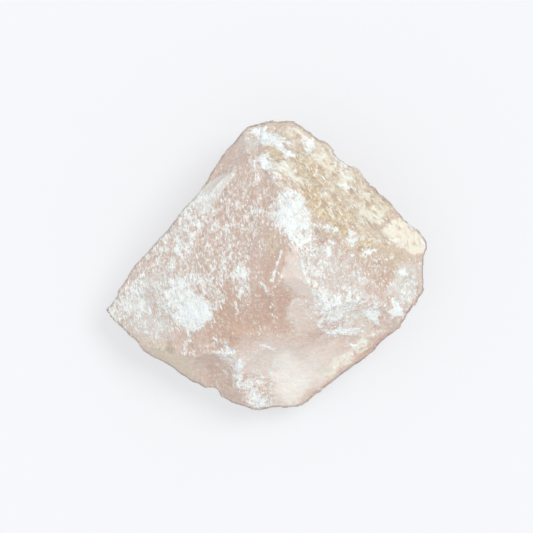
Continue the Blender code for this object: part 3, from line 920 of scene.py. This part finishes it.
def facets(points, size, shift):
    """Heights of small flat facets that meet in creases, as a share of their size."""
    heights = []
    for place in noise_places(points, size, shift):
        middles = noise.voronoi(place)[1]
        slopes = [noise.noise_vector(middle * FACET_DRAW) for middle in middles]
        heights.append(max(slope.dot(place - middle) for slope, middle in zip(slopes, middles)))
    return np.array(heights) - np.mean(heights)


def stair(values):
    """Sharp steps cut into a slope: how far each place is above or below the even slope."""
    step = np.floor(values)
    part = values - step
    return fade(part, 1.0 - STEP_RISER, 1.0) - part


def stroke_frame(points, heading, along, across):
    """The points in units of a stroke's length along its heading, and of its width across."""
    turned = points @ np.array(Matrix.Rotation(heading, 3, "Z"))
    return turned / np.array((along, across, across))


def patch_amounts(finish, plan):
    """How much of this finish the patches give at each place seen from above, in millimetres."""
    amount = np.zeros(len(plan))
    for _, middle, half_length, half_width, heading, most in PATCHES[finish]:
        offset = plan - np.array(middle)
        cosine = math.cos(math.radians(heading))
        sine = math.sin(math.radians(heading))
        along = (offset[:, 0] * cosine + offset[:, 1] * sine) / half_length
        across = (offset[:, 1] * cosine - offset[:, 0] * sine) / half_width
        amount += most * (1.0 - fade(np.hypot(along, across), PATCH_CORE, PATCH_END))
    return amount


def distance_to_line(plan, points):
    """How far each place is from the nearest part of a line through these points."""
    nearest = np.full(len(plan), np.inf)
    for start, end in zip(points, points[1:]):
        start = np.array(start)
        run = np.array(end) - start
        part = np.clip((plan - start) @ run / (run @ run), 0.0, 1.0)
        gap = plan - start - part[:, None] * run
        nearest = np.minimum(nearest, np.hypot(gap[:, 0], gap[:, 1]))
    return nearest


def within(plan, corners):
    """Which places lie inside an outline."""
    x, y = plan.T
    crossings = np.zeros(len(plan), int)
    for (x1, y1), (x2, y2) in zip(corners, (*corners[1:], corners[0])):
        if y1 != y2:
            spans = (y1 > y) != (y2 > y)
            crossings += spans & (x < x1 + (y - y1) * (x2 - x1) / (y2 - y1))
    return crossings % 2 == 1


def pane_amounts(finish, plan):
    """How much of this finish the panes give at each place seen from above."""
    amount = np.zeros(len(plan))
    for corners, carried in PANES.values():
        away = None
        for kind, softness, most in carried:
            if kind == finish:
                if away is None:
                    away = distance_to_line(plan, (*corners, corners[0]))
                inside = np.where(within(plan, corners), away, -away)
                amount += most * fade(inside, -softness, softness)
    return amount


def line_amounts(finish, plan):
    """How much of this finish the narrow lines give at each place seen from above."""
    amount = np.zeros(len(plan))
    for _, half_width, most, points in LINES.get(finish, ()):
        full, gone = (part * half_width for part in LINE_FADE)
        amount = np.maximum(amount, most * (1.0 - fade(distance_to_line(plan, points), full, gone)))
    return amount


class Skin:
    """The stone's vertices as arrays, with what the finishes are worked out from."""

    def __init__(self, stone):
        self.mesh = stone.data
        count = len(self.mesh.vertices)
        self.points = self.read("co", 3, count)
        self.normals = self.read("normal", 3, count)
        ends = np.empty(len(self.mesh.edges) * 2, np.int32)
        self.mesh.edges.foreach_get("vertices", ends)
        self.ends = ends.reshape(-1, 2)
        self.degree = np.bincount(ends, minlength=count)
        self.upward = fade(self.normals[:, 2], *UPWARD)
        self.off_base = fade(self.points[:, 2], 0.0, BASE_FADE)

    def read(self, name, width, count):
        values = np.empty(count * width, np.float32)
        self.mesh.vertices.foreach_get(name, values)
        return values.reshape(-1, width).astype(float)

    def smoothed(self, values, rounds):
        """The values after each was replaced by its neighbours' mean this many times."""
        start, end = self.ends.T
        for _ in range(rounds):
            total = np.stack(
                [
                    np.bincount(start, column[end], len(column))
                    + np.bincount(end, column[start], len(column))
                    for column in values.T
                ],
                axis=1,
            )
            values = total / self.degree[:, None]
        return values

    def sharpness(self, rounds):
        """How far each point stands out of the smoothed skin, in millimetres."""
        out = self.points - self.smoothed(self.points, rounds)
        return np.einsum("ij,ij->i", out, self.normals) / MM

    def right_side(self):
        """0 left of the main ridge and 1 right of it."""
        across, along = np.array(RIDGE)[::-1].T
        plan = self.points[:, :2] / MM
        ridge = np.interp(plan[:, 1], along, across)
        return fade(plan[:, 0] - ridge, -RIDGE_SOFTNESS, RIDGE_SOFTNESS)

    def amounts(self):
        """Each finish's amount at each point: patches on top, clouds round the sides."""
        plan = self.points[:, :2] / MM
        broad, fine = (
            wander(self.points, size * MM, SHIFTS[name])[:, :2]
            for name, size in zip(("broad wander", "fine wander"), WANDER_SIZES)
        )
        patch_plan = plan + PATCH_WANDER[0] * broad + PATCH_WANDER[1] * fine
        line_plan = plan + LINE_WANDER[0] * broad + LINE_WANDER[1] * fine
        found = {}
        for finish in FINISHES:
            top = patch_amounts(finish, patch_plan) + pane_amounts(finish, line_plan)
            top = np.maximum(top, line_amounts(finish, line_plan))
            usual, swing, size, shift = SIDE_CLOUDS[finish]
            side = np.clip(usual + swing * cloud(self.points, size * MM, shift), 0.0, MOST_ON_SIDES)
            mixed = top * self.upward + side * (1.0 - self.upward)
            found[finish] = np.clip(mixed, 0.0, MOST_FINISH)
        return found

    def outer_rim_shade(self, reach):
        """1 on what is seen from above within this distance of the stone's outline, else 0: where the
        grey line of painted shade goes.
        """
        bm = bmesh.new()
        bm.from_mesh(self.mesh)
        tree = BVHTree.FromBMesh(bm)
        bm.free()
        rim = np.zeros(len(self.points))
        for index, (point, normal) in enumerate(zip(self.points, self.normals)):
            point = Vector(point)
            level = Vector((normal[0], normal[1], 0.0)).normalized()
            if tree.ray_cast(point + Vector(normal) * CLEAR_OF_SKIN, UP)[0] is None:
                outside = point + level * reach + UP * BLOCK_SIDE
                rim[index] = tree.ray_cast(outside, -UP)[0] is None
        return rim * fade(self.normals[:, 2], 0.0, RIM_SHADE_UPWARD)

    def keep(self, name, values):
        layer = self.mesh.attributes.new(name, "FLOAT", "POINT")
        layer.data.foreach_set("value", values.astype(np.float32))

    def move_out(self, rise):
        """Moves each point out along its normal, except on the resting face."""
        moved = self.points + self.normals * (rise * self.off_base)[:, None]
        self.mesh.vertices.foreach_set("co", moved.astype(np.float32).ravel())
        self.mesh.update()


def fine_relief(skin, sizes, amounts, right):
    """Facets, fracture steps, fleck ridges and crumbs of frost, as heights in metres."""
    points = skin.points
    sides = 1.0 - skin.upward
    broken = np.full(len(points), BROKEN)
    for finish, weight in BROKEN_BY.items():
        broken += weight * amounts[finish]
    broken = np.clip(broken + BROKEN_SIDES * sides, 0.0, 1.0)
    calm = np.ones(len(points))
    for finish, weight in CALMED_BY.items():
        calm -= weight * amounts[finish]
    calm = np.clip(calm, LEAST_RELIEF, 1.0) * skin.upward + sides
    rise = sizes.facet_height * facets(points, sizes.facet_size, SHIFTS["facets"]) * broken * calm
    rise += sizes.chip_height * facets(points, sizes.chip_size, SHIFTS["chips"]) * broken * calm
    steps = stair(STEPS * cloud(points, STEP_RUN, SHIFTS["steps"]))
    stepped = np.clip(STEPS_EVERYWHERE + amounts["stain"] + sides, 0.0, 1.0)
    rise += sizes.step_height * steps * stepped * calm
    flecks = np.zeros(len(points))
    for heading, weight in ((LEFT_STROKES, 1.0 - right), (RIGHT_STROKES, right)):
        strokes = stroke_frame(points, heading, sizes.fleck_length, sizes.fleck_width)
        flecks += weight * cloud(strokes, 1.0, SHIFTS["flecks"])
    rise += sizes.fleck_height * flecks * broken * calm
    crumbs = cloud(points, sizes.crumb_size, SHIFTS["crumbs"])
    return rise + sizes.crumb_height * crumbs * amounts["frost"]


def add_node(tree, kind, **settings):
    """A node with these settings; inputs are given by name, with _ for a space."""
    made = tree.nodes.new(kind)
    for name, value in settings.items():
        if hasattr(made, name):
            setattr(made, name, value)
        else:
            made.inputs[name.replace("_", " ")].default_value = value
    return made


class Painter:
    """Builds the quartz material one layer at a time."""

    def __init__(self, tree):
        self.tree = tree
        self.place = add_node(tree, "ShaderNodeTexCoord").outputs["Object"]
        turned = add_node(tree, "ShaderNodeVectorRotate", rotation_type="Z_AXIS", invert=True)
        self.link(self.place, turned, "Vector")
        self.link(self.attribute("heading"), turned, "Angle")
        self.strokes = turned.outputs["Vector"]

    def link(self, output, made, name):
        self.tree.links.new(output, made.inputs[name])

    def attribute(self, name):
        return add_node(self.tree, "ShaderNodeAttribute", attribute_name=name).outputs["Fac"]

    def scaled(self, place, size, stretch=1.0):
        """The place in units of this size, which is longer along X by the stretch."""
        mapping = add_node(self.tree, "ShaderNodeMapping", vector_type="TEXTURE")
        mapping.inputs["Scale"].default_value = (size * stretch, size, size)
        self.link(place, mapping, "Vector")
        return mapping.outputs["Vector"]

    def noise(self, size, detail, roughness, stretch):
        """Noise of about -1 to 1 with lumps of this size, or longer along the flecks' heading."""
        if stretch is None:
            place = self.scaled(self.place, size)
        else:
            place = self.scaled(self.strokes, size, stretch)
        texture = add_node(self.tree, "ShaderNodeTexNoise", Scale=1.0, Distortion=NOISE_BEND)
        texture.inputs["Detail"].default_value = detail
        texture.inputs["Roughness"].default_value = roughness
        self.link(place, texture, "Vector")
        signed = add_node(self.tree, "ShaderNodeMapRange", clamp=False)
        for name, value in zip(("From Min", "From Max", "To Min", "To Max"), NOISE_SPREAD):
            signed.inputs[name].default_value = value
        self.link(texture.outputs["Fac"], signed, "Value")
        return signed.outputs["Result"]

    def weighted(self, *parts):
        """The sum of values, each given with its weight; a plain number counts as itself."""
        total = None
        for part in parts:
            value = self.times(*part) if isinstance(part, tuple) else part
            total = value if total is None else self.sum(total, value)
        return total

    def bent_cells(self, feature, width, stretch):
        """Cells of this width, longer along the flecks' heading, with wandering sides."""
        place = self.scaled(self.strokes, width, stretch)
        bend = add_node(self.tree, "ShaderNodeTexNoise", **CELL_BEND_NOISE)
        self.link(place, bend, "Vector")
        bent = add_node(self.tree, "ShaderNodeVectorMath", operation="MULTIPLY_ADD")
        self.tree.links.new(bend.outputs["Color"], bent.inputs[0])
        bent.inputs[1].default_value = (CELL_BEND, CELL_BEND, CELL_BEND)
        self.tree.links.new(place, bent.inputs[2])
        cells = add_node(self.tree, "ShaderNodeTexVoronoi", feature=feature, Scale=1.0, Randomness=1.0)
        self.link(bent.outputs["Vector"], cells, "Vector")
        return cells

    def lace(self):
        """A net of thin curved lines."""
        cells = self.bent_cells("DISTANCE_TO_EDGE", LACE_CELL, LACE_STRETCH)
        return self.rise(cells.outputs["Distance"], *LACE_THREAD)

    def flecks(self, amount, width, stretch):
        """White strokes, one to a cell of this width; more and larger where amount is."""
        cells = self.bent_cells("F1", width, stretch)
        chance = add_node(self.tree, "ShaderNodeSeparateColor")
        self.link(cells.outputs["Color"], chance, "Color")
        luck = (chance.outputs["Red"], FLECK_LUCK)
        reach = self.weighted((amount, FLECK_GROWTH), luck, FLECK_START)
        depth = self.maths("SUBTRACT", reach, cells.outputs["Distance"])
        shown = self.rise(chance.outputs["Green"], 0.0, 1.0, 1.0, FAINTEST_FLECK)
        return self.times(self.rise(depth, -FLECK_SOFTNESS / 2, FLECK_SOFTNESS), shown)

    def maths(self, operation, *values):
        """One step of arithmetic with outputs and plain numbers."""
        made = add_node(self.tree, "ShaderNodeMath", operation=operation)
        for index, value in enumerate(values):
            if isinstance(value, (int, float)):
                made.inputs[index].default_value = value
            else:
                self.tree.links.new(value, made.inputs[index])
        return made.outputs[0]

    def sum(self, first, second):
        return self.maths("ADD", first, second)

    def times(self, first, second):
        return self.maths("MULTIPLY", first, second)

    def larger(self, first, second):
        return self.maths("MAXIMUM", first, second)

    def rise(self, value, low, high, top=1.0, bottom=0.0):
        """Maps low to high onto bottom to top, smoothly, and holds it there outside."""
        made = add_node(self.tree, "ShaderNodeMapRange", interpolation_type="SMOOTHSTEP")
        for name, number in zip(("From Min", "From Max", "To Min", "To Max"), (low, high, bottom, top)):
            made.inputs[name].default_value = number
        self.link(value, made, "Value")
        return made.outputs["Result"]

    def between(self, factor, below, above):
        """Two numbers mixed by a factor."""
        made = add_node(self.tree, "ShaderNodeMix", data_type="FLOAT")
        self.tree.links.new(factor, made.inputs[0])
        made.inputs[2].default_value = below
        made.inputs[3].default_value = above
        return made.outputs[0]

    def layer(self, factor, below, above):
        """One colour over another by a factor."""
        made = add_node(self.tree, "ShaderNodeMix", data_type="RGBA")
        self.tree.links.new(factor, made.inputs[0])
        for socket, value in ((made.inputs[6], below), (made.inputs[7], above)):
            if isinstance(value, bpy.types.NodeSocket):
                self.tree.links.new(value, socket)
            else:
                socket.default_value = (*value, 1.0)
        return made.outputs[2]


def mixed_parts(quartz):
    """The finishes, noises and mixes of the quartz by name, as outputs of the material's nodes."""
    parts = {name: quartz.attribute(name) for name in (*FINISHES, "edge")}
    for name, (size, *shape) in NOISES.items():
        parts[name] = quartz.noise(size * MM, *shape)
    frost_and_stain = quartz.sum(parts["frost"], parts["stain"])
    parts["rough"] = quartz.rise(frost_and_stain, *ROUGH, 1.0, LEAST_MOTTLE)
    for name, source, start, weights in MIXES:
        noises = [(parts[part], weight) for part, weight in weights]
        if start is None:
            parts[name] = quartz.weighted(parts[source], *noises)
        else:
            parts[name] = quartz.times(parts[source], quartz.weighted(start, *noises))
    return parts


def white_strokes(quartz, parts, sizes):
    """Large and fine flecks, lace and curls of frost; the large flecks are also kept for the bump."""
    stretch = sizes.fleck_length / sizes.fleck_width
    frosting = parts["frosting"]
    parts["large flecks"] = quartz.flecks(frosting, sizes.fleck_width, stretch)
    fine = quartz.flecks(frosting, sizes.fleck_width * FINE_FLECKS, stretch)
    lace = quartz.times(quartz.lace(), quartz.rise(parts["lace places"], *LACE_SHOWS))
    curl = quartz.rise(quartz.maths("ABSOLUTE", parts["winding"]), *CURL_LINE)
    curls = quartz.times(curl, quartz.rise(parts["curl places"], *CURLS_SHOW))
    return quartz.larger(quartz.larger(curls, lace), quartz.larger(parts["large flecks"], fine))


def quartz_material(colours, sizes):
    """Cloudy pink quartz with veils, iron stain, cream clouds and white flecks of frost."""
    material = bpy.data.materials.new("rose quartz")
    material.use_nodes = True
    tree = material.node_tree
    shader = tree.nodes["Principled BSDF"]
    quartz = Painter(tree)
    parts = mixed_parts(quartz)

    body = colours.pink
    covers = {}
    for mix, colour_name, start, full, most in LAYERS:
        covers[mix] = quartz.rise(parts[mix], start, full, most)
        body = quartz.layer(covers[mix], body, getattr(colours, colour_name))
    strokes = white_strokes(quartz, parts, sizes)
    body = quartz.layer(strokes, body, colours.fleck)
    # Painted shade: a grey line along the outer rim seen from above, standing for the shadow under the
    # stone's edge.
    body = quartz.layer(quartz.times(quartz.attribute("rim"), RIM_SHADE_SHARE), body, colours.rim)
    quartz.link(body, shader, "Base Color")

    white = quartz.larger(covers["thick frost"], strokes)
    gloss = quartz.between(white, colours.gloss, colours.frost_gloss)
    quartz.link(gloss, shader, "Roughness")

    height = quartz.weighted(*((parts[part], weight) for part, weight in BUMPS))
    bump = add_node(tree, "ShaderNodeBump", Strength=BUMP_STRENGTH, Distance=BUMP_DEPTH)
    quartz.link(height, bump, "Height")
    quartz.link(bump.outputs["Normal"], shader, "Normal")

    shader.inputs["IOR"].default_value = QUARTZ_IOR
    shader.inputs["Subsurface Weight"].default_value = colours.translucence
    shader.inputs["Subsurface Scale"].default_value = sizes.glow
    shader.inputs["Subsurface Radius"].default_value = tuple(colours.glow_tint)
    return material


class MESH_OT_rose_quartz_chunk(bpy.types.Operator):
    """Break, chip and colour the rose quartz chunk."""

    bl_idname = "mesh.rose_quartz_chunk"
    bl_label = "Rose quartz chunk"
    bl_options = {"REGISTER", "UNDO"}

    def execute(self, context):
        noise.seed_set(NOISE_SEED)
        sizes = context.scene.quartz_sizes
        stone = broken_block()
        add_skin(stone, sizes)
        cut_resting_face(stone, sizes.base_grid)
        swell_sides(stone)
        centre_on(stone, *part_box(NODE))

        skin = Skin(stone)
        amounts = skin.amounts()
        right = skin.right_side()
        skin.move_out(fine_relief(skin, sizes, amounts, right))

        skin = Skin(stone)
        for name, values in amounts.items():
            skin.keep(name, values)
        skin.keep("heading", LEFT_STROKES + (RIGHT_STROKES - LEFT_STROKES) * right)
        skin.keep("edge", fade(skin.sharpness(EDGE_ROUNDS), *EDGE_STANDS))
        # The rim attribute marks where the painted shade line along the outer edge goes.
        skin.keep("rim", skin.smoothed(skin.outer_rim_shade(RIM_SHADE_REACH)[:, None], 1)[:, 0])
        stone.data.materials.clear()
        stone.data.materials.append(quartz_material(context.scene.quartz_colours, sizes))

        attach(stone, BODY)
        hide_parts(NODE)
        return {"FINISHED"}


class SCENE_OT_pale_table(bpy.types.Operator):
    """Lay the pale table, light it softly and look straight down on the stone."""

    bl_idname = "scene.pale_table"
    bl_label = "Pale table, light and camera"
    bl_options = {"REGISTER", "UNDO"}

    def execute(self, context):
        stage = context.scene.quartz_stage
        self.lay_table(context.scene, stage)
        self.add_lights(context.scene, stage)
        self.add_camera(context.scene, stage)
        context.scene.view_settings.view_transform = "Standard"
        return {"FINISHED"}

    def lay_table(self, scene, stage):
        bm = bmesh.new()
        bmesh.ops.create_grid(bm, x_segments=1, y_segments=1, size=stage.table_side / 2)
        mesh = bpy.data.meshes.new(FLOOR)
        bm.to_mesh(mesh)
        bm.free()
        table = bpy.data.objects.new(FLOOR, mesh)
        scene.collection.objects.link(table)
        material = bpy.data.materials.new("pale table top")
        material.use_nodes = True
        shader = material.node_tree.nodes["Principled BSDF"]
        reflected = [part * stage.table_diffuse for part in stage.table_colour]
        shader.inputs["Base Color"].default_value = (*reflected, 1.0)
        shader.inputs["Roughness"].default_value = 1.0
        shader.inputs["Specular IOR Level"].default_value = 0.0
        shader.inputs["Emission Color"].default_value = (*stage.table_colour, 1.0)
        shader.inputs["Emission Strength"].default_value = stage.table_glow
        mesh.materials.append(material)

    def add_lights(self, scene, stage):
        world = bpy.data.worlds.new("even light")
        world.use_nodes = True
        sky = world.node_tree.nodes["Background"]
        sky.inputs["Color"].default_value = (*stage.sky_colour, 1.0)
        sky.inputs["Strength"].default_value = stage.sky_light
        scene.world = world
        lamps = (
            ("soft lamp", stage.lamp_light, stage.lamp_heading, stage.lamp_rise, stage.lamp_spread),
            ("fill lamp", stage.fill_light, stage.fill_heading, stage.fill_rise, stage.fill_spread),
        )
        for lamp in lamps:
            self.add_lamp(scene, *lamp)

    def add_lamp(self, scene, name, light, heading, rise, spread):
        lamp = bpy.data.lights.new(name, "SUN")
        lamp.energy = light
        lamp.angle = spread
        lamp_object = bpy.data.objects.new(name, lamp)
        scene.collection.objects.link(lamp_object)
        towards_lamp = direction(math.degrees(heading), math.degrees(rise))
        lamp_object.rotation_euler = towards_lamp.to_track_quat("Z", "Y").to_euler()

    def add_camera(self, scene, stage):
        camera = bpy.data.cameras.new("camera")
        camera.lens = stage.focal_length
        camera.sensor_width = stage.sensor_width
        camera.clip_end = CAMERA_REACH
        above_rim = stage.view_width * camera.lens / camera.sensor_width
        camera_object = bpy.data.objects.new("camera", camera)
        scene.collection.objects.link(camera_object)
        camera_object.location = (0.0, -stage.below_middle, stage.rim_height + above_rim)
        scene.camera = camera_object


class VIEW3D_PT_rose_quartz(bpy.types.Panel):
    """Buttons and settings of the rose quartz chunk."""

    bl_label = "Rose quartz chunk"
    bl_space_type = "VIEW_3D"
    bl_region_type = "UI"
    bl_category = "Rose quartz"

    def draw(self, context):
        layout = self.layout
        layout.operator(MESH_OT_rose_quartz_chunk.bl_idname)
        layout.operator(SCENE_OT_pale_table.bl_idname)
        scene = context.scene
        for group in (scene.quartz_sizes, scene.quartz_colours, scene.quartz_stage):
            box = layout.box()
            for name in group.__annotations__:
                box.prop(group, name)


CLASSES = (
    QuartzSizes,
    QuartzColours,
    QuartzStage,
    MESH_OT_rose_quartz_chunk,
    SCENE_OT_pale_table,
    VIEW3D_PT_rose_quartz,
)


def register():
    for cls in CLASSES:
        bpy.utils.register_class(cls)
    bpy.types.Scene.quartz_sizes = PointerProperty(type=QuartzSizes)
    bpy.types.Scene.quartz_colours = PointerProperty(type=QuartzColours)
    bpy.types.Scene.quartz_stage = PointerProperty(type=QuartzStage)


def unregister():
    del bpy.types.Scene.quartz_stage
    del bpy.types.Scene.quartz_colours
    del bpy.types.Scene.quartz_sizes
    for cls in reversed(CLASSES):
        bpy.utils.unregister_class(cls)


def main():
    register()
    bpy.ops.mesh.rose_quartz_chunk()
    bpy.ops.scene.pale_table()


if __name__ == "__main__":
    main()
